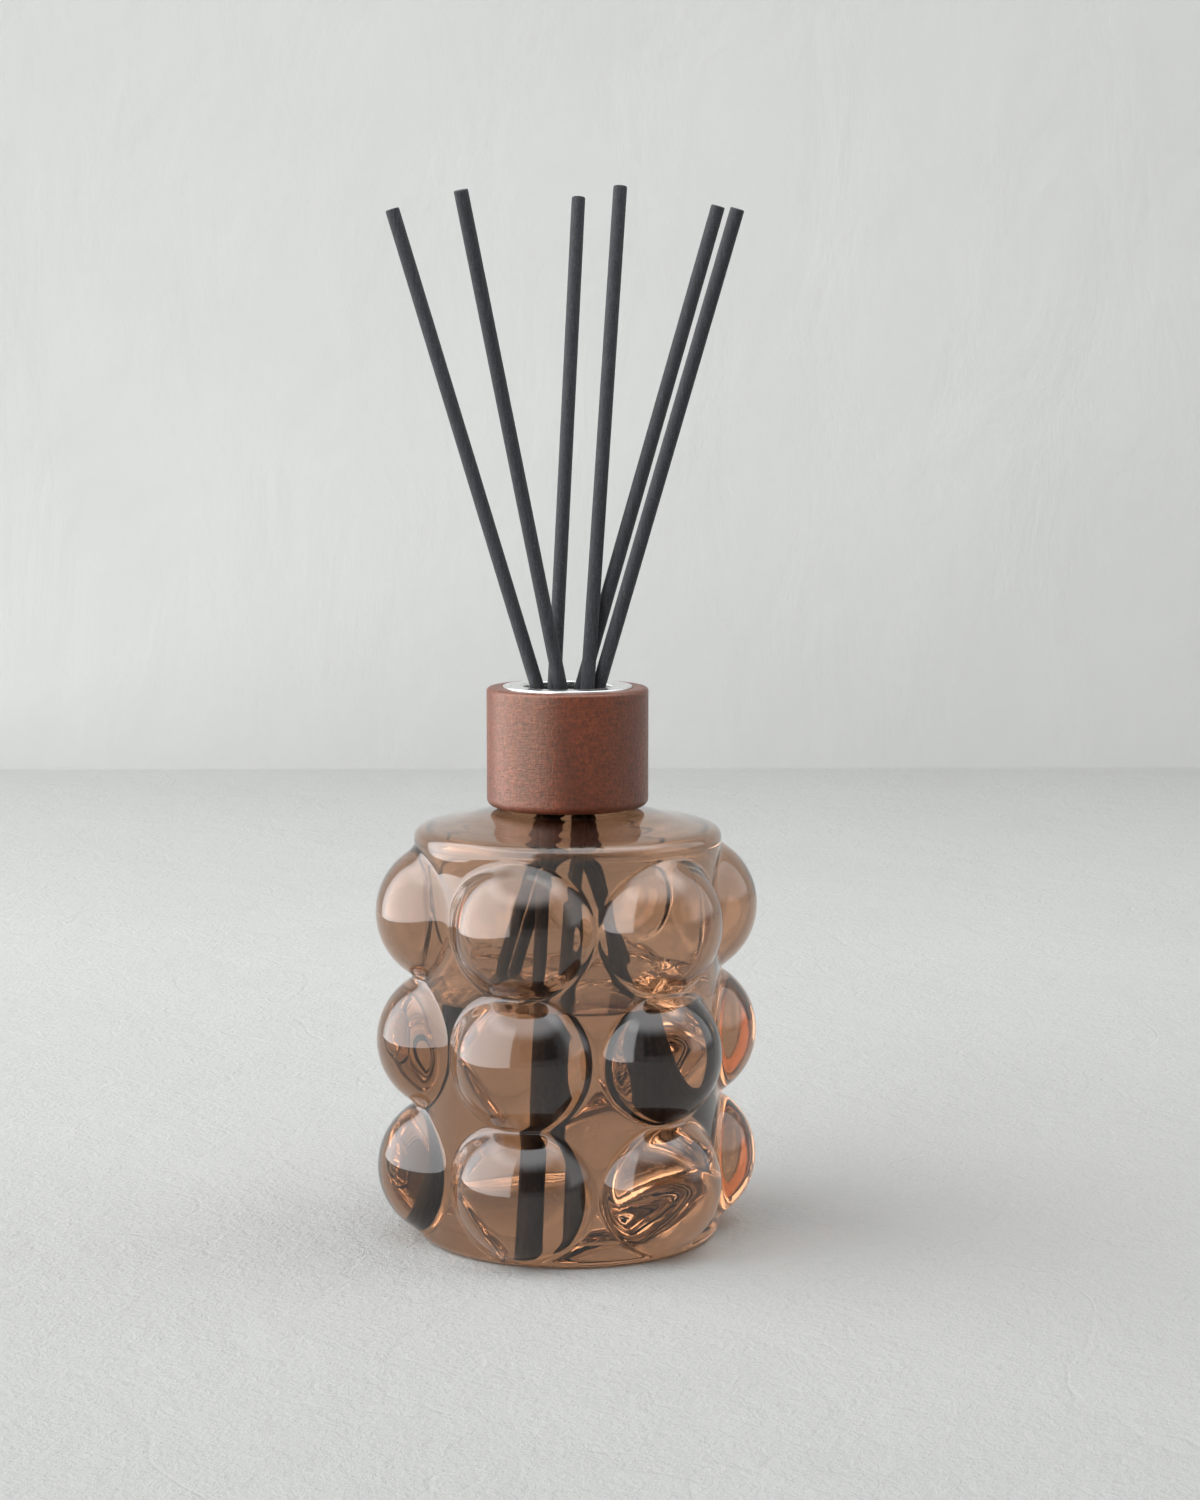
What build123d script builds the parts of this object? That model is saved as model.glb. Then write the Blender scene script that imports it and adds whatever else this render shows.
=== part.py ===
from build123d import *
import os
from math import cos, hypot, radians, sin, sqrt

# Reed diffuser: bubble-blown glass bottle, screw collar and six reeds.
# Millimetres, +Z up, origin at the centre of the bottle's base.

# Reeds
REED_D = 3.3
REED_LENGTH = 245.0
REED_EDGE = 0.12
REED_FLOOR_GAP = 0.3
# Where each reed passes the mouth (in bore radii) and where its axis
# meets the inside floor (in inner wall radii): (mouth x, y, floor x, y)
REED_LINES = [
    (-0.772, -0.223, 0.900, -0.110),
    (-0.171, -0.364, 0.672, 0.452),
    (-0.345, 0.511, -0.280, -0.664),
    (0.515, -0.192, -0.113, -0.665),
    (0.367, 0.441, -0.947, 0.087),
    (0.801, 0.127, -0.835, 0.456),
]

# Glass body
WALL_R = 35.9
GLASS_T = 2.0
HEEL_R = 2.0
FLOOR_Z = 5.0
FLOOR_CORNER_R = 1.0
BUBBLE_R = 17.0
BUBBLE_INSET = 7.3
BUBBLES_PER_ROW = 6
FIRST_BUBBLE_DEG = -19.25
ROWS = 3
ROW_PITCH = 30.35
FIRST_ROW_Z = 16.9
# Shoulder sections: (share of the way from neck to wall, height above wall)
SHOULDER_OUT = [
    (1.010, 1.7), (1.014, 3.3), (0.980, 5.1), (0.908, 6.05), (0.765, 6.9), (0.606, 7.7),
    (0.446, 8.7), (0.327, 9.4), (0.187, 10.1), (0.056, 11.8),
]
SHOULDER_IN = [
    (1.002, 1.7), (0.985, 3.1), (0.930, 4.1), (0.827, 4.8), (0.683, 5.5), (0.522, 6.5),
    (0.386, 7.4), (0.225, 8.4), (0.076, 10.4),
]
SHOULDER_OUT_H = 15.3
SHOULDER_IN_H = 14.2
SHOULDER_START = 13.9
# The glass is one piece: it's stored as two nodes that meet at this height
# over the top of the wall, so that the neck's collision stays open.
GLASS_SPLIT = 2.0

# Screw neck
BORE_PER_REED = 2.73
NECK_T = 1.8
LIP_EDGE = 0.6
THREAD_PITCH = 3.175
THREAD_H = 1.15
NECK_THREAD_ROOT_W = 1.9
NECK_THREAD_CREST_W = 1.0
NECK_THREAD_TURNS = 1.25
NECK_THREAD_BELOW_LIP = 8.4
INSERT_THREAD_ROOT_W = 1.6
INSERT_THREAD_CREST_W = 0.9
INSERT_THREAD_TURNS = 1.3
THREAD_SINK = 0.25
THREAD_GAP = 0.3

# Collar stack
COLLAR_H = 27.6
COLLAR_RISE = 10.6
WOOD_T = 3.8
WOOD_TOP_EDGE = 0.5
WOOD_FOOT_EDGE = 1.8
GLUE_GAP = 0.05
SHELL_T = 0.4
SHELL_PROUD = 0.2
SHELL_HOLE_MARGIN = 1.5
SHELL_LIP_H = 1.3
SHELL_FOOT_RISE = 0.6
INSERT_T = 2.45
INSERT_FLANGE_T = 1.0
INSERT_FOOT_RISE = 2.4
GASKET_T = 1.2
GASKET_GAP = 0.1
GASKET_HOLE_MARGIN = 0.9
GASKET_SIDE_GAP = 0.3

# Fragrance oil
OIL_LEVEL = 58.0
OIL_GAP = 0.05
OIL_REED_GAP = 0.08

# Derived sizes
BORE_R = BORE_PER_REED * REED_D
NECK_R = BORE_R + NECK_T
INNER_R = WALL_R - GLASS_T
BUBBLE_CENTRE_R = WALL_R - BUBBLE_INSET
WALL_TOP = FIRST_ROW_Z + (ROWS - 1) * ROW_PITCH + SHOULDER_START
COLLAR_Z0 = WALL_TOP + COLLAR_RISE
COLLAR_Z1 = COLLAR_Z0 + COLLAR_H
SHELL_Z1 = COLLAR_Z1 + SHELL_PROUD
FLANGE_Z1 = SHELL_Z1 - SHELL_T - GLUE_GAP
FLANGE_Z0 = FLANGE_Z1 - INSERT_FLANGE_T
GASKET_Z1 = FLANGE_Z0 - GASKET_GAP
GASKET_Z0 = GASKET_Z1 - GASKET_T
LIP_Z = GASKET_Z0 - GASKET_GAP
INSERT_BORE_R = NECK_R + THREAD_H + THREAD_GAP
INSERT_R = INSERT_BORE_R + INSERT_T
SHELL_BORE_R = INSERT_R + GLUE_GAP
SHELL_R = SHELL_BORE_R + SHELL_T
SHELL_HOLE_R = BORE_R + SHELL_HOLE_MARGIN
WOOD_BORE_R = SHELL_R + GLUE_GAP
COLLAR_R = WOOD_BORE_R + WOOD_T
THREAD_Z = LIP_Z - NECK_THREAD_BELOW_LIP


def revolve_profile(edges):
    """Turn a closed chain of edges in the XZ plane about Z."""
    return revolve(make_face(edges), Axis.Z)


def rz(r, z):
    return (r, 0, z)


def tube(outer_r, inner_r, z0, z1):
    """Plain ring between two heights."""
    ring = Circle(outer_r) - Circle(inner_r)
    return Pos(0, 0, z0) * extrude(ring, z1 - z0)


def shoulder(sections, neck_r, wall_r, start_z, rise):
    """Smooth curve from the top of the wall in to the foot of the neck."""
    span = wall_r - neck_r
    inner = [rz(neck_r + share * span, start_z + up) for share, up in sections]
    points = [rz(wall_r, start_z)] + inner + [rz(neck_r, start_z + rise)]
    return Spline(points, tangents=[(0, 0, 1), (0, 0, 1)])


def vessel(neck_r, wall_r, floor_z, top_z, corner_r, sections, rise):
    """Solid of revolution for the outside or the inside of the bottle."""
    curve = shoulder(sections, neck_r, wall_r, WALL_TOP, rise)
    rim = sqrt(0.5) * corner_r
    edges = [
        Line(rz(0, floor_z), rz(wall_r - corner_r, floor_z)),
        ThreePointArc(
            rz(wall_r - corner_r, floor_z),
            rz(wall_r - corner_r + rim, floor_z + corner_r - rim),
            rz(wall_r, floor_z + corner_r),
        ),
        Line(rz(wall_r, floor_z + corner_r), rz(wall_r, WALL_TOP)),
        curve,
        Line(rz(neck_r, WALL_TOP + rise), rz(neck_r, top_z)),
        Line(rz(neck_r, top_z), rz(0, top_z)),
        Line(rz(0, top_z), rz(0, floor_z)),
    ]
    return revolve_profile(edges)


def bubbles(radius):
    """All the spheres blown out of the wall, in aligned rows."""
    found = []
    for row in range(ROWS):
        z = FIRST_ROW_Z + row * ROW_PITCH
        for n in range(BUBBLES_PER_ROW):
            a = radians(FIRST_BUBBLE_DEG + 360 / BUBBLES_PER_ROW * n)
            x = BUBBLE_CENTRE_R * sin(a)
            y = -BUBBLE_CENTRE_R * cos(a)
            found.append(Pos(x, y, z) * Sphere(radius))
    return found


def above(shape, z):
    """Keep the part of a shape over a level."""
    reach = 4 * (WALL_R + BUBBLE_R)
    keep = Box(reach, reach, reach, align=(Align.CENTER, Align.CENTER, Align.MIN))
    return shape & (Pos(0, 0, z) * keep)


def below(shape, z):
    """Keep the part of a shape under a level."""
    reach = 4 * (WALL_R + BUBBLE_R)
    keep = Box(reach, reach, reach, align=(Align.CENTER, Align.CENTER, Align.MAX))
    return shape & (Pos(0, 0, z) * keep)


def thread(root_r, crest_r, root_w, crest_w, z0, turns):
    """Right-handed ridge along a helix; its root sinks into the wall."""
    outward = 1 if crest_r > root_r else -1
    sunk_r = root_r - outward * THREAD_SINK
    path = Helix(THREAD_PITCH, THREAD_PITCH * turns, root_r, center=(0, 0, z0))
    side = outward / 2
    corners = [
        rz(sunk_r, z0 - side * root_w),
        rz(root_r, z0 - side * root_w),
        rz(crest_r, z0 - side * crest_w),
        rz(crest_r, z0 + side * crest_w),
        rz(root_r, z0 + side * root_w),
        rz(sunk_r, z0 + side * root_w),
    ]
    section = make_face(Polyline(corners, close=True))
    return sweep(section, path=path, is_frenet=True)


def cavity(gap):
    """Space inside the bottle, up through the neck, shrunk by a gap."""
    inner = vessel(
        BORE_R - gap, INNER_R - gap, FLOOR_Z + gap, LIP_Z + 1, FLOOR_CORNER_R, SHOULDER_IN,
        SHOULDER_IN_H,
    )
    hollow = inner.fuse(*bubbles(BUBBLE_R - GLASS_T - gap))
    return above(hollow, FLOOR_Z + gap)


def whole_bottle():
    outer = vessel(NECK_R, WALL_R, 0, LIP_Z, HEEL_R, SHOULDER_OUT, SHOULDER_OUT_H)
    outer = above(outer.fuse(*bubbles(BUBBLE_R)), 0)
    lip = outer.edges().filter_by(GeomType.CIRCLE).group_by(Axis.Z)[-1]
    outer = fillet(lip, LIP_EDGE)
    ridge = thread(
        NECK_R, NECK_R + THREAD_H, NECK_THREAD_ROOT_W, NECK_THREAD_CREST_W, THREAD_Z,
        NECK_THREAD_TURNS,
    )
    body = outer + ridge - cavity(0)
    mouth = body.edges().filter_by(GeomType.CIRCLE).group_by(Axis.Z)[-1].sort_by(SortBy.RADIUS)
    return fillet(mouth[0], LIP_EDGE)


def reed_line(n):
    """Foot point and unit direction of one reed's axis."""
    mx, my, fx, fy = REED_LINES[n]
    dx = mx * BORE_R - fx * INNER_R
    dy = my * BORE_R - fy * INNER_R
    dz = COLLAR_Z1 - FLOOR_Z
    size = sqrt(dx * dx + dy * dy + dz * dz)
    unit = (dx / size, dy / size, dz / size)
    lift = REED_FLOOR_GAP + REED_D / 2 * hypot(unit[0], unit[1])
    along = lift / dz
    foot = (fx * INNER_R + along * dx, fy * INNER_R + along * dy, FLOOR_Z + lift)
    return foot, unit


def reed_rod(n, radius, length, setback=0.0):
    foot, unit = reed_line(n)
    start = tuple(foot[k] - setback * unit[k] for k in range(3))
    return extrude(Plane(origin=start, z_dir=unit) * Circle(radius), length)


def reed(n):
    rod = reed_rod(n, REED_D / 2, REED_LENGTH)
    return chamfer(rod.edges().filter_by(GeomType.CIRCLE), REED_EDGE)


def fragrance_oil():
    """Oil filling the lower rows, with a wetted bore round each reed."""
    reach = 2 * (WALL_R + BUBBLE_R)
    slab = Box(reach, reach, OIL_LEVEL, align=(Align.CENTER, Align.CENTER, Align.MIN))
    oil = cavity(OIL_GAP) & slab
    for n in range(len(REED_LINES)):
        oil = oil - reed_rod(n, REED_D / 2 + OIL_REED_GAP, REED_LENGTH, setback=5.0)
    return oil


def wood_collar():
    ring = tube(COLLAR_R, WOOD_BORE_R, COLLAR_Z0, COLLAR_Z1)
    rims = ring.edges().filter_by(GeomType.CIRCLE).sort_by(SortBy.RADIUS)[-2:].sort_by(Axis.Z)
    ring = fillet(rims[0], WOOD_FOOT_EDGE)
    top = ring.edges().filter_by(GeomType.CIRCLE).group_by(Axis.Z)[-1].sort_by(SortBy.RADIUS)
    return fillet(top[-1], WOOD_TOP_EDGE)


def cap_shell():
    """Thin aluminium cap: skirt, top and a hole edge rolled downward."""
    skirt = tube(SHELL_R, SHELL_BORE_R, COLLAR_Z0 + SHELL_FOOT_RISE, SHELL_Z1)
    top = tube(SHELL_R, SHELL_HOLE_R, SHELL_Z1 - SHELL_T, SHELL_Z1)
    lip = tube(SHELL_HOLE_R + SHELL_T, SHELL_HOLE_R, SHELL_Z1 - SHELL_LIP_H, SHELL_Z1)
    shell = skirt + top + lip
    rims = shell.edges().filter_by(GeomType.CIRCLE).group_by(Axis.Z)[-1]
    return fillet(rims, SHELL_T * 0.7)


def threaded_insert():
    z0 = COLLAR_Z0 + INSERT_FOOT_RISE
    skirt = tube(INSERT_R, INSERT_BORE_R, z0, FLANGE_Z1)
    hole_r = SHELL_HOLE_R + SHELL_T + GLUE_GAP
    flange = tube(INSERT_R, hole_r, FLANGE_Z0, FLANGE_Z1)
    # Half a pitch up from the neck's ridge, so each flank has clearance.
    ridge = thread(
        INSERT_BORE_R, INSERT_BORE_R - THREAD_H, INSERT_THREAD_ROOT_W, INSERT_THREAD_CREST_W,
        THREAD_Z - THREAD_PITCH / 2, INSERT_THREAD_TURNS,
    )
    return skirt + flange + ridge


def sealing_gasket():
    outer_r = INSERT_BORE_R - GASKET_SIDE_GAP
    return tube(outer_r, BORE_R + GASKET_HOLE_MARGIN, GASKET_Z0, GASKET_Z1)


def main():
    os.makedirs("parts", exist_ok=True)
    bottle = whole_bottle()
    pieces = {
        "glass_bottle": below(bottle, WALL_TOP + GLASS_SPLIT),
        "glass_neck": above(bottle, WALL_TOP + GLASS_SPLIT),
        "fragrance_oil": fragrance_oil(),
        "wood_collar": wood_collar(),
        "cap_shell": cap_shell(),
        "threaded_insert": threaded_insert(),
        "sealing_gasket": sealing_gasket(),
    }
    for n in range(len(REED_LINES)):
        pieces[f"reed_{n + 1}"] = reed(n)
    for node, solid in pieces.items():
        export_step(solid, f"parts/{node}.step")


main()
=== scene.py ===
import math
import bpy
import numpy as np
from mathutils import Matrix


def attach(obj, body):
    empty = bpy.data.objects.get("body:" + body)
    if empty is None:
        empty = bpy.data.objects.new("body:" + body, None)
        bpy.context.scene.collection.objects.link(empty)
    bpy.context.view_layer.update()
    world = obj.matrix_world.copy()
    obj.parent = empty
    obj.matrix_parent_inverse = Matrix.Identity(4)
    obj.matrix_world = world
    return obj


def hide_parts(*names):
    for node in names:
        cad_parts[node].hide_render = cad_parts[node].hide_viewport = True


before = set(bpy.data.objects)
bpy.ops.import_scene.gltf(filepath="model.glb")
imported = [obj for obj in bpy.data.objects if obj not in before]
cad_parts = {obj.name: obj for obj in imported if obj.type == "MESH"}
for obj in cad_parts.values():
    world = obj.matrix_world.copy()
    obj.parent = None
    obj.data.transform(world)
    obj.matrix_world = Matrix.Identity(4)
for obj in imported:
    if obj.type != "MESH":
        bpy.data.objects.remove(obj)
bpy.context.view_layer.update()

# A reed diffuser: a bottle of blown glass bubbles with oil in it, a turned wood
# collar with a metal ring round the mouth, and six fibre reeds.
MM = 0.001
scene = bpy.context.scene

# ---------------------------------------------------------------- sizes, mm
WALL_R = 35.9
GLASS_T = 2.0
INNER_R = WALL_R - GLASS_T
FLOOR_Z = 5.0
HEEL_R = 2.0
CORNER_R = 1.0
BUBBLE_R = 17.0
BUBBLE_CENTRE_R = 28.6
BUBBLES_IN_ROW = 6
FIRST_BUBBLE_DEG = -19.25
ROWS_Z = [16.9, 47.25, 77.6]
BORE_R = 9.009
NECK_R = BORE_R + 1.8
WALL_TOP = 91.5
LIP_Z = 127.05
LIP_R = 0.6
THREAD_PITCH = 3.175
THREAD_H = 1.15
THREAD_Z = LIP_Z - 8.4
THREAD_TURNS = 1.25
COLLAR_Z0 = 102.1
COLLAR_R = 19.0
WOOD_BORE_R = 15.21
WOOD_TOP = 130.0
SHELL_R = 15.16
SHELL_Z1 = 130.4
SHELL_T = 0.4
SHELL_HOLE_R = BORE_R + 1.5
OIL_LEVEL = 58.0
OIL_GROWTH = 0.06
REED_COUNT = 6
REED_D = 3.3


# ---------------------------------------------------------------- materials
def new_material(name):
    mat = bpy.data.materials.new(name)
    mat.use_nodes = True
    nt = mat.node_tree
    nt.nodes.clear()
    out = nt.nodes.new("ShaderNodeOutputMaterial")
    return mat, nt, out


def link(nt, a, b):
    nt.links.new(a, b)


def principled(nt, out, **values):
    p = nt.nodes.new("ShaderNodeBsdfPrincipled")
    for key, value in values.items():
        p.inputs[key.replace("_", " ")].default_value = value
    link(nt, p.outputs[0], out.inputs["Surface"])
    return p


def object_coords(nt, scale=(1, 1, 1)):
    """Place on the object, in metres, with each axis scaled."""
    tc = nt.nodes.new("ShaderNodeTexCoord")
    mp = nt.nodes.new("ShaderNodeMapping")
    mp.inputs["Scale"].default_value = scale
    link(nt, tc.outputs["Object"], mp.inputs["Vector"])
    return mp.outputs[0]


def noise(nt, vector, scale, detail=4.0, rough=0.55, distortion=0.0):
    n = nt.nodes.new("ShaderNodeTexNoise")
    n.inputs["Scale"].default_value = scale
    n.inputs["Detail"].default_value = detail
    n.inputs["Roughness"].default_value = rough
    n.inputs["Distortion"].default_value = distortion
    link(nt, vector, n.inputs["Vector"])
    return n.outputs["Fac"]


def ramp(nt, fac, stops):
    r = nt.nodes.new("ShaderNodeValToRGB")
    e = r.color_ramp.elements
    while len(e) < len(stops):
        e.new(0.5)
    for k, (pos, col) in enumerate(stops):
        e[k].position = pos
        e[k].color = (*col, 1.0)
    link(nt, fac, r.inputs[0])
    return r.outputs[0]


def feed(nt, value, socket):
    """Link another node's socket, or set a plain value."""
    if isinstance(value, bpy.types.NodeSocket):
        link(nt, value, socket)
    else:
        socket.default_value = value


def math_node(nt, op, a, b=0.0):
    m = nt.nodes.new("ShaderNodeMath")
    m.operation = op
    feed(nt, a, m.inputs[0])
    feed(nt, b, m.inputs[1])
    return m.outputs[0]


def product(nt, first, *others):
    for value in others:
        first = math_node(nt, "MULTIPLY", first, value)
    return first


def total(nt, first, *others):
    for value in others:
        first = math_node(nt, "ADD", first, value)
    return first


def split(nt, vector):
    sep = nt.nodes.new("ShaderNodeSeparateXYZ")
    link(nt, vector, sep.inputs[0])
    return sep.outputs[0], sep.outputs[1], sep.outputs[2]


def map_range(nt, value, low, high, smooth=False):
    """0 at low and 1 at high; low may be the larger."""
    m = nt.nodes.new("ShaderNodeMapRange")
    if smooth:
        m.interpolation_type = "SMOOTHSTEP"
    m.inputs["From Min"].default_value = low
    m.inputs["From Max"].default_value = high
    link(nt, value, m.inputs["Value"])
    return m.outputs[0]


def multiply_colour(nt, fac, a, b):
    m = nt.nodes.new("ShaderNodeMix")
    m.data_type = "RGBA"
    m.blend_type = "MULTIPLY"
    feed(nt, fac, m.inputs[0])
    feed(nt, a, m.inputs[6])
    feed(nt, b, m.inputs[7])
    return m.outputs[2]


def grey(value):
    return (value, value, value)


def bump(nt, height, strength, distance):
    b = nt.nodes.new("ShaderNodeBump")
    b.inputs["Strength"].default_value = strength
    b.inputs["Distance"].default_value = distance
    link(nt, height, b.inputs["Height"])
    return b.outputs[0]


GLASS_IOR = 1.5
GLASS_TINT = (0.385, 0.203, 0.114, 1.0)
OIL_SIDE_TINT = (0.985, 0.955, 0.92, 1.0)
OIL_TOP_TINT = (0.99, 0.97, 0.94, 1.0)
CLEAR = (1.0, 1.0, 1.0, 1.0)


def glass_outside():
    mat, nt, out = new_material("smoke_glass")
    p = principled(nt, out, Base_Color=GLASS_TINT, Roughness=0.0, IOR=GLASS_IOR)
    p.inputs["Transmission Weight"].default_value = 1.0
    p.inputs["Coat Weight"].default_value = 0.4
    p.inputs["Coat Roughness"].default_value = 0.0
    wave = noise(nt, object_coords(nt), 55.0, 2.0, 0.4)
    link(nt, bump(nt, wave, 0.06, 0.0012), p.inputs["Normal"])
    return mat


def glass_inside():
    mat, nt, out = new_material("smoke_glass_inside")
    p = principled(nt, out, Base_Color=CLEAR, Roughness=0.0, IOR=GLASS_IOR)
    p.inputs["Transmission Weight"].default_value = 1.0
    wave = noise(nt, object_coords(nt), 70.0, 2.0, 0.4)
    link(nt, bump(nt, wave, 0.10, 0.0012), p.inputs["Normal"])
    return mat


def bend_only(name, tint):
    """Glass where oil wets it: light bends there and none is mirrored."""
    mat, nt, out = new_material(name)
    r = nt.nodes.new("ShaderNodeBsdfRefraction")
    r.inputs["Color"].default_value = tint
    r.inputs["Roughness"].default_value = 0.0
    r.inputs["IOR"].default_value = GLASS_IOR
    link(nt, r.outputs[0], out.inputs["Surface"])
    return mat


def glass_wetted():
    return bend_only("smoke_glass_wetted", CLEAR)


def oil_side():
    return bend_only("oil_side", OIL_SIDE_TINT)


def oil_top():
    mat, nt, out = new_material("oil_top")
    p = principled(nt, out, Base_Color=OIL_TOP_TINT, Roughness=0.0, IOR=GLASS_IOR)
    p.inputs["Transmission Weight"].default_value = 1.0
    return mat


def stained_wood():
    """Red-brown stain over turned wood: flecks, upright grain and turning lines."""
    mat, nt, out = new_material("stained_wood")
    p = principled(nt, out, IOR=1.46)
    body = object_coords(nt)
    across = object_coords(nt, (1.0, 1.0, 0.35))
    around = object_coords(nt, (0.12, 0.12, 1.0))
    broad = noise(nt, across, 70.0, 4.0, 0.55, 0.6)
    fine = noise(nt, body, 1250.0, 3.0, 0.65)
    upright = noise(nt, across, 1900.0, 2.0, 0.6)
    turned = noise(nt, around, 2300.0, 2.0, 0.6)
    stain = ramp(nt, broad, [
        (0.28, (0.062, 0.0120, 0.0048)),
        (0.50, (0.092, 0.0188, 0.0072)),
        (0.74, (0.130, 0.0300, 0.0118)),
    ])
    flecks = ramp(nt, fine, [
        (0.30, (0.55, 0.50, 0.46)),
        (0.47, (0.95, 0.94, 0.93)),
        (0.70, (1.45, 1.45, 1.42)),
    ])
    grain = ramp(nt, upright, [(0.32, (0.72, 0.68, 0.64)), (0.55, (1.08, 1.08, 1.07))])
    lines = ramp(nt, turned, [(0.32, (0.72, 0.69, 0.66)), (0.58, grey(1.10))])
    colour = multiply_colour(nt, 1.0, stain, flecks)
    colour = multiply_colour(nt, 0.9, colour, lines)
    link(nt, multiply_colour(nt, 0.9, colour, grain), p.inputs["Base Color"])
    gloss = ramp(nt, fine, [(0.3, grey(0.44)), (0.7, grey(0.31))])
    link(nt, gloss, p.inputs["Roughness"])
    relief = total(nt, fine, product(nt, total(nt, turned, upright), 0.6))
    link(nt, bump(nt, relief, 0.55, 0.00015), p.inputs["Normal"])
    p.inputs["Specular IOR Level"].default_value = 0.88
    p.inputs["Specular Tint"].default_value = (1.0, 0.80, 0.66, 1.0)
    return mat


def ring_metal():
    """Spun aluminium: fine marks run round the axis."""
    mat, nt, out = new_material("ring_metal")
    p = principled(nt, out, Base_Color=(0.80, 0.80, 0.785, 1.0), Metallic=1.0)
    x, y, z = split(nt, object_coords(nt))
    radius = math_node(nt, "SQRT", total(nt, product(nt, x, x), product(nt, y, y)))
    comb = nt.nodes.new("ShaderNodeCombineXYZ")
    link(nt, radius, comb.inputs[0])
    link(nt, z, comb.inputs[2])
    turned = noise(nt, comb.outputs[0], 5200.0, 3.0, 0.6)
    gloss = ramp(nt, turned, [(0.3, grey(0.20)), (0.7, grey(0.32))])
    link(nt, gloss, p.inputs["Roughness"])
    link(nt, bump(nt, turned, 0.03, 0.00001), p.inputs["Normal"])
    return mat


def reed_fibre():
    mat, nt, out = new_material("reed_fibre")
    p = principled(nt, out, Roughness=0.78, IOR=1.45)
    grain = noise(nt, object_coords(nt), 2600.0, 3.0, 0.7)
    strand = noise(nt, object_coords(nt, (1, 1, 0.06)), 2400.0, 3.0, 0.65)
    both = product(nt, total(nt, grain, strand), 0.5)
    colour = ramp(nt, both, [
        (0.36, (0.007, 0.007, 0.008)),
        (0.52, (0.017, 0.0175, 0.021)),
        (0.68, (0.042, 0.043, 0.050)),
    ])
    link(nt, colour, p.inputs["Base Color"])
    link(nt, bump(nt, both, 0.55, 0.00025), p.inputs["Normal"])
    p.inputs["Sheen Weight"].default_value = 0.06
    p.inputs["Sheen Roughness"].default_value = 0.5
    return mat


def insert_plastic():
    mat, nt, out = new_material("insert_plastic")
    p = principled(nt, out, Base_Color=(0.045, 0.045, 0.047, 1.0), Roughness=0.5)
    link(nt, bump(nt, noise(nt, object_coords(nt), 1500.0), 0.1, 0.0001), p.inputs["Normal"])
    return mat


def gasket_foam():
    mat, nt, out = new_material("gasket_foam")
    p = principled(nt, out, Base_Color=(0.62, 0.60, 0.56, 1.0), Roughness=0.85)
    link(nt, bump(nt, noise(nt, object_coords(nt), 1800.0), 0.3, 0.0002), p.inputs["Normal"])
    return mat


# Painted shade on the right: the share of the plaster's colour kept there.
PAINTED_SHADE_RIGHT = 0.785
CREASE_DEPTH = 0.02


def plaster(name, level, tint, relief, grain, front=1.0):
    """Pale trowelled plaster with painted light: painted lighter towards the window on the left,
    painted shade to the right.

    level is its lightness, relief the strength of its bumps, grain the share
    of small lumps and grit in them, and front the painted shade nearest the camera.
    """
    mat, nt, out = new_material(name)
    p = principled(nt, out, Roughness=0.9)
    body = object_coords(nt)
    x, y, _ = split(nt, body)
    # Painted light: the colour runs from lit on the left to painted shade on the right.
    painted_lit_colour = tuple(level * c for c in tint)
    dim = tuple(level * PAINTED_SHADE_RIGHT * c for c in tint)
    painted_light_tone = ramp(nt, map_range(nt, x, -0.45, 0.45), [(0.0, painted_lit_colour), (1.0, dim)])
    # Painted shade: the colour is dimmed towards the camera, by front.
    fade = ramp(nt, map_range(nt, y, -0.35, 0.35), [(0.0, grey(front)), (1.0, grey(1.0))])
    patches = noise(nt, body, 9.0, 5.0, 0.6, 0.5)
    mottle = ramp(nt, patches, [(0.3, grey(0.975)), (0.7, grey(1.01))])
    painted_light_tone = multiply_colour(nt, 1.0, painted_light_tone, fade)
    link(nt, multiply_colour(nt, 1.0, painted_light_tone, mottle), p.inputs["Base Color"])

    slant = nt.nodes.new("ShaderNodeMapping")
    slant.inputs["Rotation"].default_value = (0.0, math.radians(38), math.radians(-30))
    slant.inputs["Scale"].default_value = (1.0, 1.0, 0.45)
    link(nt, body, slant.inputs["Vector"])
    ridges = noise(nt, slant.outputs[0], 20.0, 6.0, 0.60, 0.5)
    lumps = noise(nt, body, 110.0, 6.0, 0.68, 0.8)
    grit = noise(nt, body, 620.0, 4.0, 0.75)
    folds = noise(nt, body, 13.0, 3.0, 0.55, 1.2)
    off_fold = math_node(nt, "ABSOLUTE", math_node(nt, "SUBTRACT", folds, 0.5))
    creases = math_node(nt, "MINIMUM", off_fold, CREASE_DEPTH)
    height = total(
        nt,
        ridges,
        product(nt, lumps, grain),
        product(nt, grit, grain * 0.9),
        product(nt, creases, grain * 9.0),
    )
    link(nt, bump(nt, height, relief, 0.004), p.inputs["Normal"])
    return mat


# ---------------------------------------------------------------- mesh tools
def make_object(name, verts, faces, mats, face_mat=None, smooth=True, sharp=None):
    mesh = bpy.data.meshes.new(name)
    mesh.from_pydata([tuple(v) for v in verts], [], [tuple(f) for f in faces])
    for m in mats:
        mesh.materials.append(m)
    if face_mat is not None:
        mesh.polygons.foreach_set("material_index", np.asarray(face_mat, dtype=np.int32))
    mesh.polygons.foreach_set("use_smooth", [smooth] * len(faces))
    mesh.validate()
    mesh.update()
    if sharp is not None:
        mesh.set_sharp_from_angle(angle=math.radians(sharp))
    obj = bpy.data.objects.new(name, mesh)
    scene.collection.objects.link(obj)
    return obj


def grid_faces(rows, cols):
    """Quads of a grid of rings; each ring closes on itself."""
    i = np.arange(rows - 1)[:, None] * cols
    j = np.arange(cols)[None, :]
    k = (j + 1) % cols
    return np.stack([i + j, i + k, i + cols + k, i + cols + j], -1).reshape(-1, 4)


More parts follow.
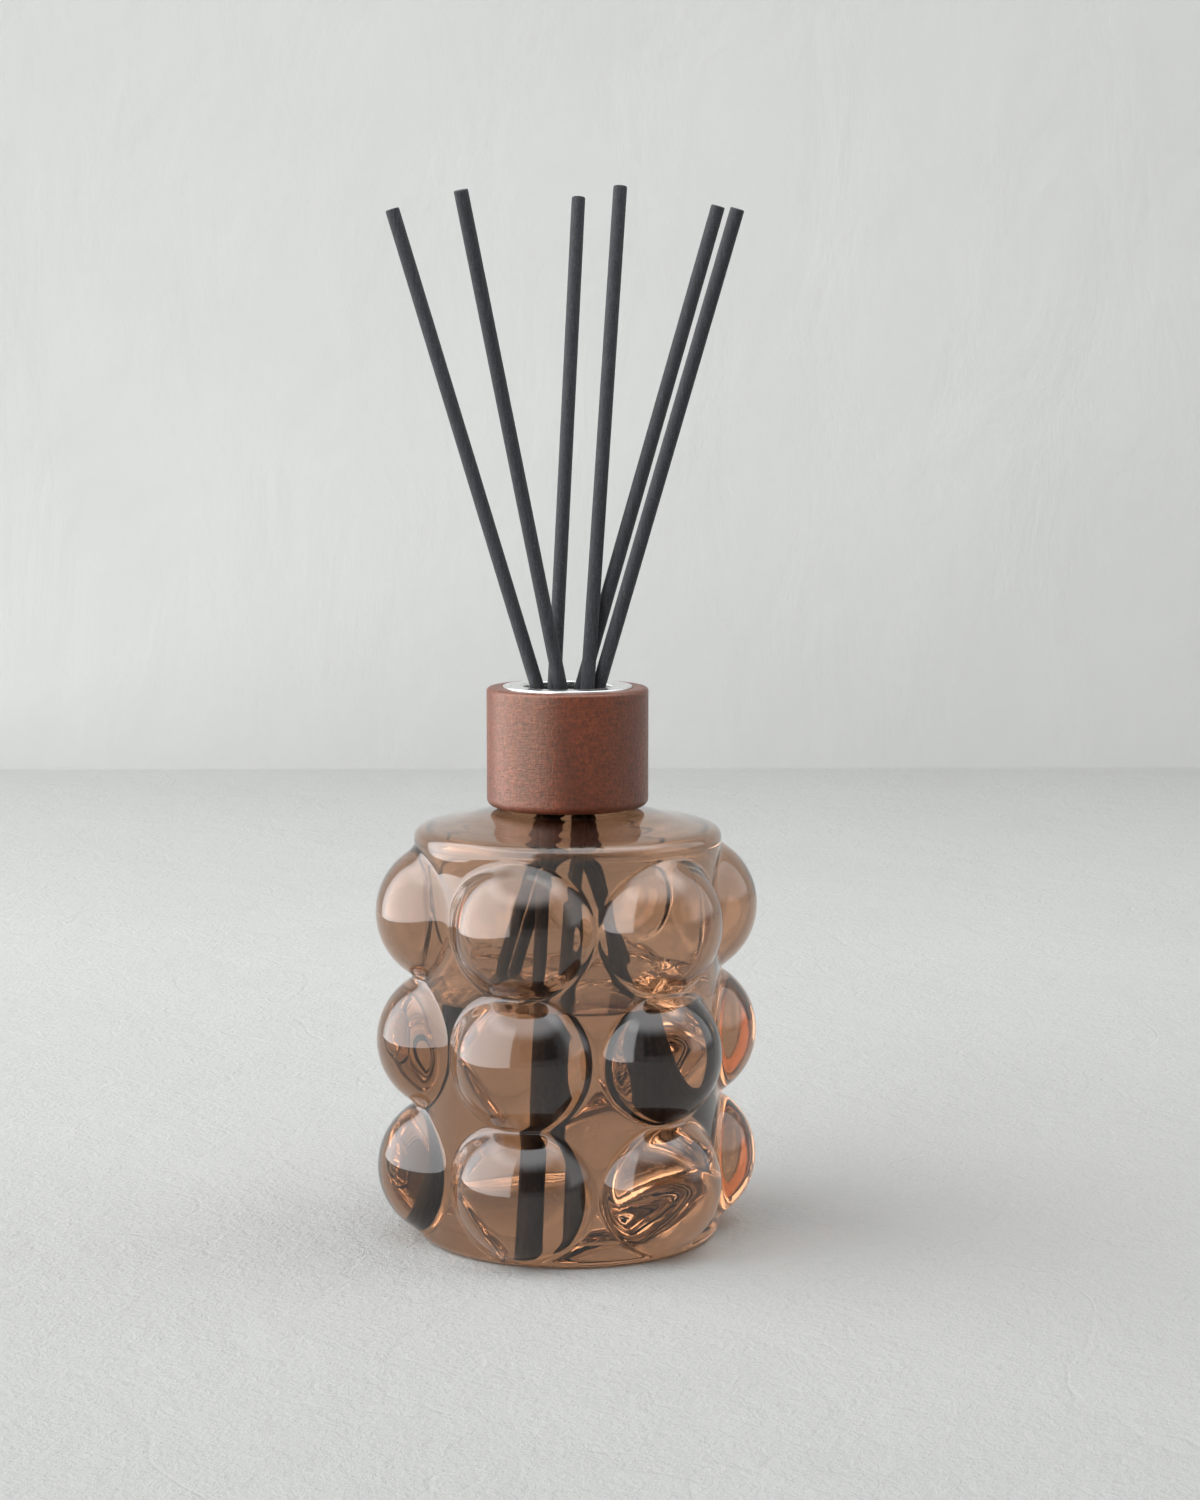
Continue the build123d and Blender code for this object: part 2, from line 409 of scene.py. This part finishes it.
def end_fans(rows, cols):
    """Triangles from a grid's end rings to two middle points listed after it."""
    middle = rows * cols
    last = (rows - 1) * cols
    j = np.arange(cols)
    k = (j + 1) % cols
    first_fan = np.stack([np.full(cols, middle), k, j], -1)
    last_fan = np.stack([np.full(cols, middle + 1), last + j, last + k], -1)
    return first_fan, last_fan


def lathe(name, profile, mats, segments=192, sharp=40):
    """Closed ring from a profile of (r, z) in mm: out below, up, and in above."""
    pts = np.array(profile) * MM
    a = np.linspace(0, 2 * np.pi, segments, endpoint=False)
    x = pts[:, 0][:, None] * np.cos(a)
    y = pts[:, 0][:, None] * np.sin(a)
    z = np.repeat(pts[:, 1][:, None], segments, 1)
    verts = np.stack([x, y, z], -1).reshape(-1, 3)
    faces = grid_faces(len(pts), segments)
    last = (len(pts) - 1) * segments
    j = np.arange(segments)
    k = (j + 1) % segments
    faces = np.vstack([faces, np.stack([last + j, last + k, k, j], -1)])
    return make_object(name, verts, faces, mats, sharp=sharp)


def arc(cx, cz, r, a0, a1, n):
    """Points on a round from angle a0 to a1, in degrees."""
    t = np.radians(np.linspace(a0, a1, n))
    return [(cx + r * math.cos(v), cz + r * math.sin(v)) for v in t]


def spline(points, n):
    """Smooth curve through points, sampled evenly along its length."""
    p = np.array(points, float)
    d = np.concatenate([[0], np.cumsum(np.hypot(*np.diff(p, axis=0).T))])
    m = np.zeros_like(p)
    m[1:-1] = (p[2:] - p[:-2]) / (d[2:] - d[:-2])[:, None]
    m[0] = (p[1] - p[0]) / (d[1] - d[0])
    m[-1] = (p[-1] - p[-2]) / (d[-1] - d[-2])
    s = np.linspace(0, d[-1], n)
    k = np.clip(np.searchsorted(d, s, side="right") - 1, 0, len(d) - 2)
    h = d[k + 1] - d[k]
    t = ((s - d[k]) / h)[:, None]
    h = h[:, None]
    return (
        (2 * t**3 - 3 * t**2 + 1) * p[k]
        + (t**3 - 2 * t**2 + t) * h * m[k]
        + (-2 * t**3 + 3 * t**2) * p[k + 1]
        + (t**3 - t**2) * h * m[k + 1]
    )


# ---------------------------------------------------------------- glass body
THETA_N = 576


def smooth_max(a, b, k):
    """The larger of two, softly joined where they differ by less than k."""
    h = np.maximum(k - np.abs(a - b), 0) / k
    return np.maximum(a, b) + h * h * k / 4


def blown(theta, z, wall, radius, blend):
    """Wall radius with every bubble pushed out of it, softly joined."""
    out = wall
    for zc in ROWS_Z:
        rho2 = radius**2 - (z - zc) ** 2
        for n in range(BUBBLES_IN_ROW):
            delta = theta - math.radians(FIRST_BUBBLE_DEG + 360 / BUBBLES_IN_ROW * n)
            side = BUBBLE_CENTRE_R * np.sin(delta)
            inside = rho2 - side**2
            ahead = np.cos(delta) > 0.5
            reach = np.where(
                (inside > 0) & ahead,
                BUBBLE_CENTRE_R * np.cos(delta) + np.sqrt(np.maximum(inside, 0)),
                0.0,
            )
            out = smooth_max(out, reach, blend)
    return out


def ripple(theta, z, size):
    """Slow waviness of blown glass."""
    return size * (
        np.sin(3 * theta + 0.09 * z + 0.7) * 0.5
        + np.sin(7 * theta - 0.13 * z + 2.1) * 0.3
        + np.sin(5 * theta + 0.31 * z) * 0.35
        + np.sin(11 * theta + 0.22 * z + 4.0) * 0.2
    )


def span_points(neck, wall, pairs):
    """Shoulder points: the share of the way from neck to wall, and mm above the wall's top."""
    return [(neck + u * (wall - neck), WALL_TOP + up) for u, up in pairs]


def outer_profile():
    """Outside of the glass without its bubbles, from the foot's middle to the lip."""
    step = 0.55
    base = [(r, 0.0) for r in np.linspace(1.0, WALL_R - HEEL_R, 10)[:-1]]
    heel = arc(WALL_R - HEEL_R, HEEL_R, HEEL_R, -90, 0, 8)
    wall = [(WALL_R, z) for z in np.arange(HEEL_R + step, WALL_TOP - 9.2, step)]
    shoulder = spline(
        [(WALL_R, WALL_TOP - 9), (WALL_R, WALL_TOP - 6)]
        + span_points(NECK_R, WALL_R, [
            (1.0015, -3.5), (1.006, -1.0), (1.012, 1.5), (1.013, 3.2), (1.003, 4.4),
            (0.972, 5.35), (0.925, 5.95), (0.860, 6.38), (0.765, 6.9),
            (0.606, 7.7), (0.446, 8.7), (0.327, 9.4), (0.187, 10.1), (0.056, 11.8),
        ])
        + [(NECK_R, WALL_TOP + 15.3), (NECK_R, WALL_TOP + 17)],
        130,
    )
    neck = [(NECK_R, z) for z in np.arange(WALL_TOP + 17.3, LIP_Z - 0.75, 0.22)]
    lip = arc(NECK_R - LIP_R, LIP_Z - LIP_R, LIP_R, 0, 90, 6)
    return np.array(base + heel + wall + [tuple(p) for p in shoulder] + neck + lip)


def inner_profile(grow=0.0):
    """Inside of the glass, from the lip to the floor's middle, moved out by grow."""
    step = 0.6
    r0 = INNER_R + grow
    floor = FLOOR_Z - grow
    lip = arc(BORE_R + LIP_R, LIP_Z - LIP_R, LIP_R, 90, 180, 6)
    neck = [(BORE_R, z) for z in np.arange(LIP_Z - 1.6, WALL_TOP + 16.5, -1.0)]
    shoulder = spline(
        [(BORE_R, WALL_TOP + 16), (BORE_R, WALL_TOP + 14.2)]
        + span_points(BORE_R, INNER_R, [
            (0.076, 10.4), (0.225, 8.4), (0.386, 7.4), (0.522, 6.5), (0.683, 5.5),
            (0.827, 4.8), (0.910, 4.25), (0.962, 3.45), (0.990, 2.4), (1.001, 0.8),
            (1.002, -1.5),
        ])
        + [(INNER_R, WALL_TOP - 5), (INNER_R, WALL_TOP - 8)],
        110,
    )
    wall = [(r0, z) for z in np.arange(WALL_TOP - 8 - step, floor + CORNER_R, -step)]
    corner = arc(r0 - CORNER_R, floor + CORNER_R, CORNER_R, 0, -90, 6)
    base = [(r, floor) for r in np.linspace(r0 - CORNER_R, 1.0, 12)[1:]]
    return np.array(lip + neck + [tuple(p) for p in shoulder] + wall + corner + base)


# The height that counts as flat, how widely bubbles join the wall outside and
# inside, and the thread's ridge: half its width, its slope and its run-out.
FLAT = 0.001
OUTER_BLEND = 2.6
INNER_BLEND = 3.6
RIDGE_HALF = 0.95
RIDGE_FLANK = 0.45
RIDGE_FADE = 0.05
RIPPLE = 0.10


def outer_radius(theta, z, wall):
    """Outside of the glass: bubbles, and the thread's ridge on the neck.

    The rings of the flat foot are the foot's outline, drawn in to the middle.
    The ridge starts at +X and climbs for THREAD_TURNS turns, so two laps hold it.
    """
    edge = WALL_R - HEEL_R
    foot = z < FLAT
    r = blown(theta, z, np.where(foot, edge, wall), BUBBLE_R, OUTER_BLEND)
    r = np.where(foot, r * wall / edge, r)
    turn = ((theta - np.pi / 2) % (2 * np.pi)) / (2 * np.pi)
    ridge = np.zeros_like(r)
    for lap in (0, 1):
        along = turn + lap
        on = along <= THREAD_TURNS
        dz = np.abs(z - (THREAD_Z + along * THREAD_PITCH))
        shape = np.clip((RIDGE_HALF - dz) / RIDGE_FLANK, 0, 1) * THREAD_H
        fade = np.clip(np.minimum(along, THREAD_TURNS - along) / RIDGE_FADE, 0, 1)
        ridge = np.maximum(ridge, np.where(on, shape * fade, 0))
    return np.where(z > THREAD_Z - 3, r + ridge, r)


def inner_radius(theta, z, wall, grow=0.0):
    """Inside of the glass: hollow bubbles and a slow waviness."""
    edge = INNER_R + grow - CORNER_R
    floor = z < FLOOR_Z - grow + FLAT
    inside_r = BUBBLE_R - GLASS_T + grow
    r = blown(theta, z, np.where(floor, edge, wall), inside_r, INNER_BLEND)
    r = np.where(floor, r * wall / edge, r)
    fade = np.clip((z - FLOOR_Z) / 6, 0, 1) * np.clip((WALL_TOP + 2 - z) / 8, 0, 1)
    return r + ripple(theta, z, RIPPLE) * fade


def surface(profile, radius):
    """Ring grid over a profile; angle 0 is the front and grows to +X."""
    theta = np.linspace(0, 2 * np.pi, THETA_N, endpoint=False)[None, :]
    z = profile[:, 1][:, None] + 0 * theta
    r = radius(theta, z, profile[:, 0][:, None] + 0 * theta)
    return np.stack([r * np.sin(theta), -r * np.cos(theta), z], -1) * MM


# Places in the glass's list of materials.
OUTSIDE, DRY, WETTED = 0, 1, 2


def glass_bottle(mats):
    outer = outer_profile()
    inner = inner_profile()
    rings = np.vstack([surface(outer, outer_radius), surface(inner, inner_radius)])
    heights = np.concatenate([outer[:, 1], inner[:, 1]])
    is_inside = np.arange(len(rings)) >= len(outer)
    ring_mat = np.where(is_inside, np.where(heights < OIL_LEVEL, WETTED, DRY), OUTSIDE)
    verts = np.vstack([rings.reshape(-1, 3), [[0, 0, 0], [0, 0, FLOOR_Z * MM]]])
    foot_fan, floor_fan = end_fans(len(rings), THETA_N)
    faces = [*grid_faces(len(rings), THETA_N), *foot_fan, *floor_fan]
    face_mat = np.concatenate([
        np.repeat(ring_mat[1:], THETA_N),
        np.full(THETA_N, OUTSIDE),
        np.full(THETA_N, WETTED),
    ])
    return make_object("bottle_glass", verts, faces, mats, face_mat)


# ---------------------------------------------------------------- reeds
def reed_axis(n):
    """Foot centre, direction and length of a reed, read off its solid."""
    node_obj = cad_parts[f"reed_{n}"]
    m = node_obj.matrix_world
    co = np.array([tuple(m @ v.co) for v in node_obj.data.vertices])
    mid = co.mean(0)
    u = np.linalg.svd(co - mid, full_matrices=False)[2][0]
    u = u * np.sign(u[2])
    t = (co - mid) @ u
    return mid + u * t.min(), u, t.max() - t.min()


# Steps at a reed's end, in mm: the way along it, and how much thinner it is there.
END_STEPS = ((0.0, 1.05), (0.0, 0.13), (0.12, 0.03), (0.5, 0.0))
SIDE_START = 4.0
SIDE_RINGS = 70
FLUTES = 40
FLUTE_DEPTH = 0.010
WOBBLE = 0.008


def reed(n, mat, seed):
    """Fibre rod with slightly rounded ends and an uneven, faintly fluted side."""
    foot, u, length = reed_axis(n)
    rng = np.random.default_rng(seed)
    side = np.cross(u, [0.0, 0.0, 1.0])
    side /= np.linalg.norm(side)
    up = np.cross(u, side)
    steps, thinner = np.array(END_STEPS).T * MM
    start = SIDE_START * MM
    middle = np.linspace(start, length - start, SIDE_RINGS)
    along = np.concatenate([steps, middle, length - steps[::-1]])
    radius = np.full(len(along), REED_D / 2 * MM)
    radius[:len(steps)] -= thinner
    radius[-len(steps):] -= thinner[::-1]
    a = np.linspace(0, 2 * np.pi, FLUTES, endpoint=False)
    flute = 1 - FLUTE_DEPTH * (rng.random(FLUTES) ** 2)
    wobble = 1 - WOBBLE * rng.random(len(along))
    outward = np.cos(a)[:, None] * side + np.sin(a)[:, None] * up
    rings = [
        foot + u * s + (r * w * flute)[:, None] * outward
        for s, r, w in zip(along, radius, wobble)
    ]
    verts = np.vstack([*rings, [foot, foot + u * length]])
    foot_fan, tip_fan = end_fans(len(along), FLUTES)
    faces = [*grid_faces(len(along), FLUTES), *foot_fan, *tip_fan]
    return make_object(f"fibre_reed_{n}", verts, faces, [mat], sharp=50)


# ---------------------------------------------------------------- oil
# How high the oil's skin climbs the wall and the reeds, and how far in it fades.
WALL_RISE = 1.12
WALL_RISE_REACH = 0.75
REED_RISE = 0.7
REED_RISE_REACH = 0.7
RISE_STEPS = (0.0, 0.45, 0.8, 1.05)
RINGS_IN = (0.25, 0.55, 0.9, 1.4, 2.0, 2.8, 3.8, 5.0, 6.5, 8.5, 11, 14, 17, 20, 23, 26, 29, 31.5)


def oil_body(mats, axes):
    """Oil up to its level; its skin climbs the glass and the reeds a little."""
    theta = np.linspace(0, 2 * np.pi, THETA_N, endpoint=False)
    profile = inner_profile(OIL_GROWTH)
    profile = profile[profile[:, 1] < OIL_LEVEL - 0.2][::-1]
    rise = [(INNER_R + OIL_GROWTH, OIL_LEVEL + up) for up in RISE_STEPS]
    profile = np.vstack([profile, rise])
    side = surface(profile, lambda t, z, wall: inner_radius(t, z, wall, OIL_GROWTH))
    rim = np.hypot(side[-1][:, 0], side[-1][:, 1]) / MM
    skin = []
    for inward in RINGS_IN:
        r = np.maximum(rim - inward * rim / 34.0, 0.5)
        z = OIL_LEVEL + WALL_RISE * np.exp(-(rim - r) / WALL_RISE_REACH)
        x, y = r * np.sin(theta), -r * np.cos(theta)
        for foot, u, _ in axes:
            s = (OIL_LEVEL * MM - foot[2]) / u[2]
            cx, cy = (foot[:2] + u[:2] * s) / MM
            gap = np.maximum(np.hypot(x - cx, y - cy) - REED_D / 2, 0)
            z = np.maximum(z, OIL_LEVEL + REED_RISE * np.exp(-gap / REED_RISE_REACH))
        skin.append(np.stack([x, y, z], -1) * MM)
    rings = np.concatenate([side, np.array(skin)])
    middles = [[0, 0, (FLOOR_Z - OIL_GROWTH) * MM], [0, 0, OIL_LEVEL * MM]]
    verts = np.vstack([rings.reshape(-1, 3), middles])
    floor_fan, top_fan = end_fans(len(rings), THETA_N)
    faces = [*grid_faces(len(rings), THETA_N), *floor_fan, *top_fan]
    in_glass, in_air = 0, 1
    face_mat = np.concatenate([
        np.full((len(side) - 1) * THETA_N, in_glass),
        np.full(len(skin) * THETA_N, in_air),
        np.full(THETA_N, in_glass),
        np.full(THETA_N, in_air),
    ])
    return make_object("oil_fill", verts, faces, mats, face_mat)


# ---------------------------------------------------------------- build
bottle = glass_bottle([glass_outside(), glass_inside(), glass_wetted()])
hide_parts("glass_bottle", "glass_neck")
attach(bottle, "bottle")

axes = [reed_axis(n) for n in range(1, REED_COUNT + 1)]
oil = oil_body([oil_side(), oil_top()], axes)
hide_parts("fragrance_oil")
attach(oil, "bottle")

WOOD_FOOT_ROUND = 1.8
WOOD_TOP_ROUND = 0.9
BORE_CHAMFER_LOW = 0.2
BORE_CHAMFER_HIGH = 0.15
# Rings up the plain side keep the shading of the rounds to themselves.
collar = lathe(
    "collar_wood",
    [(WOOD_BORE_R, COLLAR_Z0 + BORE_CHAMFER_LOW), (WOOD_BORE_R + BORE_CHAMFER_LOW, COLLAR_Z0)]
    + arc(COLLAR_R - WOOD_FOOT_ROUND, COLLAR_Z0 + WOOD_FOOT_ROUND, WOOD_FOOT_ROUND, -90, 0, 12)
    + [(COLLAR_R, COLLAR_Z0 + 3 + 3.2 * k) for k in range(8)]
    + arc(COLLAR_R - WOOD_TOP_ROUND, WOOD_TOP - WOOD_TOP_ROUND, WOOD_TOP_ROUND, 0, 90, 12)
    + [(COLLAR_R - 2.2, WOOD_TOP), (WOOD_BORE_R + BORE_CHAMFER_HIGH, WOOD_TOP)]
    + [(WOOD_BORE_R, WOOD_TOP - BORE_CHAMFER_HIGH)],
    [stained_wood()],
)
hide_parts("wood_collar")
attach(collar, "collar")

# A thin cap: skirt, flat top and a lip rolled down into the hole.
SHELL_EDGE_R = 0.25
ROLL_R = SHELL_T * 1.1
ROLL_DEPTH = 1.3
SHELL_INSIDE_R = SHELL_R - SHELL_T
SHELL_FOOT = COLLAR_Z0 + 0.6
shell = lathe(
    "mouth_ring",
    [(SHELL_INSIDE_R, SHELL_FOOT), (SHELL_R, SHELL_FOOT), (SHELL_R, COLLAR_Z0 + 14)]
    + arc(SHELL_R - SHELL_EDGE_R, SHELL_Z1 - SHELL_EDGE_R, SHELL_EDGE_R, 0, 90, 6)
    + [(SHELL_R - 1.6, SHELL_Z1), (SHELL_HOLE_R + ROLL_R + 1.2, SHELL_Z1 - 0.02)]
    + arc(SHELL_HOLE_R + ROLL_R, SHELL_Z1 - ROLL_R, ROLL_R, 90, 180, 8)
    + [(SHELL_HOLE_R, SHELL_Z1 - ROLL_DEPTH), (SHELL_HOLE_R + SHELL_T, SHELL_Z1 - ROLL_DEPTH)]
    + [(SHELL_HOLE_R + SHELL_T, SHELL_Z1 - SHELL_T), (SHELL_INSIDE_R, SHELL_Z1 - SHELL_T)],
    [ring_metal()],
)
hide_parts("cap_shell")
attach(shell, "collar")

fibre = reed_fibre()
REED_SEED = 40
for n in range(1, REED_COUNT + 1):
    rod = reed(n, fibre, REED_SEED + n)
    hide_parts(f"reed_{n}")
    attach(rod, f"reed_{n}")

for name, mat in (("threaded_insert", insert_plastic()), ("sealing_gasket", gasket_foam())):
    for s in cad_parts[name].material_slots:
        s.link = "OBJECT"
        s.material = mat


# ---------------------------------------------------------------- stage
def plane(name, low, high, mat):
    """Rectangle from its left, near or low corner to its right, far or high one."""
    corners = [low, (high[0], low[1], low[2]), high, (low[0], high[1], high[2])]
    obj = make_object(name, corners, [(0, 1, 2, 3)], [mat], smooth=False)


WALL_Y = 0.872
STAGE_FLOOR_Z = -0.0003
# The floor's colour carries painted shade towards the camera and to the right.
plane(
    "floor",
    (-0.42, -1.2, STAGE_FLOOR_Z),
    (1.2, WALL_Y, STAGE_FLOOR_Z),
    plaster("floor_plaster", 0.382, (1.0, 1.0, 0.965), relief=0.62, grain=0.42, front=0.82),
)
# The wall's colour carries painted light: lighter on the left, painted shade on the right.
plane(
    "back_wall",
    (-1.2, WALL_Y, -0.3),
    (1.4, WALL_Y, 1.6),
    plaster("wall_plaster", 0.575, (1.0, 1.0, 0.97), relief=0.26, grain=0.07),
)

WINDOW_LIGHT = 4.3
WINDOW_NEAR_SHARE = 0.75
ROOM_LIGHT = 0.42
CEILING_LIGHT = 2.6
RIGHT_LIGHT = 1.15
LEAST_LIGHT = 0.06
DOORWAY_DIMMING = 0.75


def studio_light():
    """Light of a room: a tall window on the left, a ceiling and a dim rest.

    Angles are in degrees round the upright axis, 0 towards the camera and
    growing to the left; heights are the upward part of a unit direction.
    """
    world = bpy.data.worlds.new("studio")
    scene.world = world
    world.use_nodes = True
    nt = world.node_tree
    nt.nodes.clear()
    out = nt.nodes.new("ShaderNodeOutputWorld")
    sky = nt.nodes.new("ShaderNodeBackground")
    link(nt, sky.outputs[0], out.inputs[0])
    coords = nt.nodes.new("ShaderNodeTexCoord")
    x, y, z = split(nt, coords.outputs["Generated"])
    azimuth = math_node(nt, "ARCTAN2", product(nt, x, -1.0), product(nt, y, -1.0))

    def turn(start, full):
        return map_range(nt, azimuth, math.radians(start), math.radians(full), smooth=True)

    def height(start, full):
        return map_range(nt, z, start, full, smooth=True)

    pane = product(nt, turn(23, 28), turn(140, 112), height(-0.27, -0.24), height(0.92, 0.70))
    gain = product(nt, turn(20, 75), 1 - WINDOW_NEAR_SHARE)
    window = product(nt, pane, total(nt, gain, WINDOW_NEAR_SHARE))
    ceiling = product(nt, height(0.60, 0.85), map_range(nt, y, 0.40, 0.05, smooth=True))
    right = product(nt, turn(-62, -80), height(0.0, 0.15))
    # A darker doorway at middle height, mostly to the right of the camera.
    door = product(nt, turn(-58, -48), turn(14, 6), height(0.08, 0.16), height(0.64, 0.56))
    open_wall = math_node(nt, "SUBTRACT", 1.0, product(nt, door, DOORWAY_DIMMING))
    room = product(nt, height(-0.20, -0.12), open_wall)
    level = total(
        nt,
        product(nt, window, WINDOW_LIGHT),
        product(nt, room, ROOM_LIGHT),
        product(nt, ceiling, CEILING_LIGHT),
        product(nt, right, RIGHT_LIGHT),
        LEAST_LIGHT,
    )
    sky.inputs["Color"].default_value = (0.97, 0.985, 1.0, 1.0)
    link(nt, level, sky.inputs["Strength"])
    world.cycles.sampling_method = "MANUAL"
    world.cycles.sample_map_resolution = 1024


studio_light()

CAMERA_PLACE = (0.0, -0.7245, 0.2029)
CAMERA_LENS = 74.517
CAMERA_DOWN_DEG = 6.913
CAMERA_TURN_DEG = -0.6027
cam_data = bpy.data.cameras.new("camera")
cam = bpy.data.objects.new("camera", cam_data)
scene.collection.objects.link(cam)
cam_data.sensor_width = 36.0
cam_data.lens = CAMERA_LENS
cam_data.clip_start = 0.01
cam_data.clip_end = 20
cam.location = CAMERA_PLACE
cam.rotation_euler = (math.radians(90 - CAMERA_DOWN_DEG), 0.0, math.radians(CAMERA_TURN_DEG))
scene.camera = cam

scene.view_settings.view_transform = "Standard"
scene.view_settings.look = "None"
scene.cycles.max_bounces = 32
scene.cycles.diffuse_bounces = 4
scene.cycles.glossy_bounces = 8
scene.cycles.transmission_bounces = 28
scene.cycles.transparent_max_bounces = 16
scene.cycles.caustics_reflective = True
scene.cycles.caustics_refractive = True
scene.cycles.blur_glossy = 0.2
scene.cycles.sample_clamp_indirect = 6.0
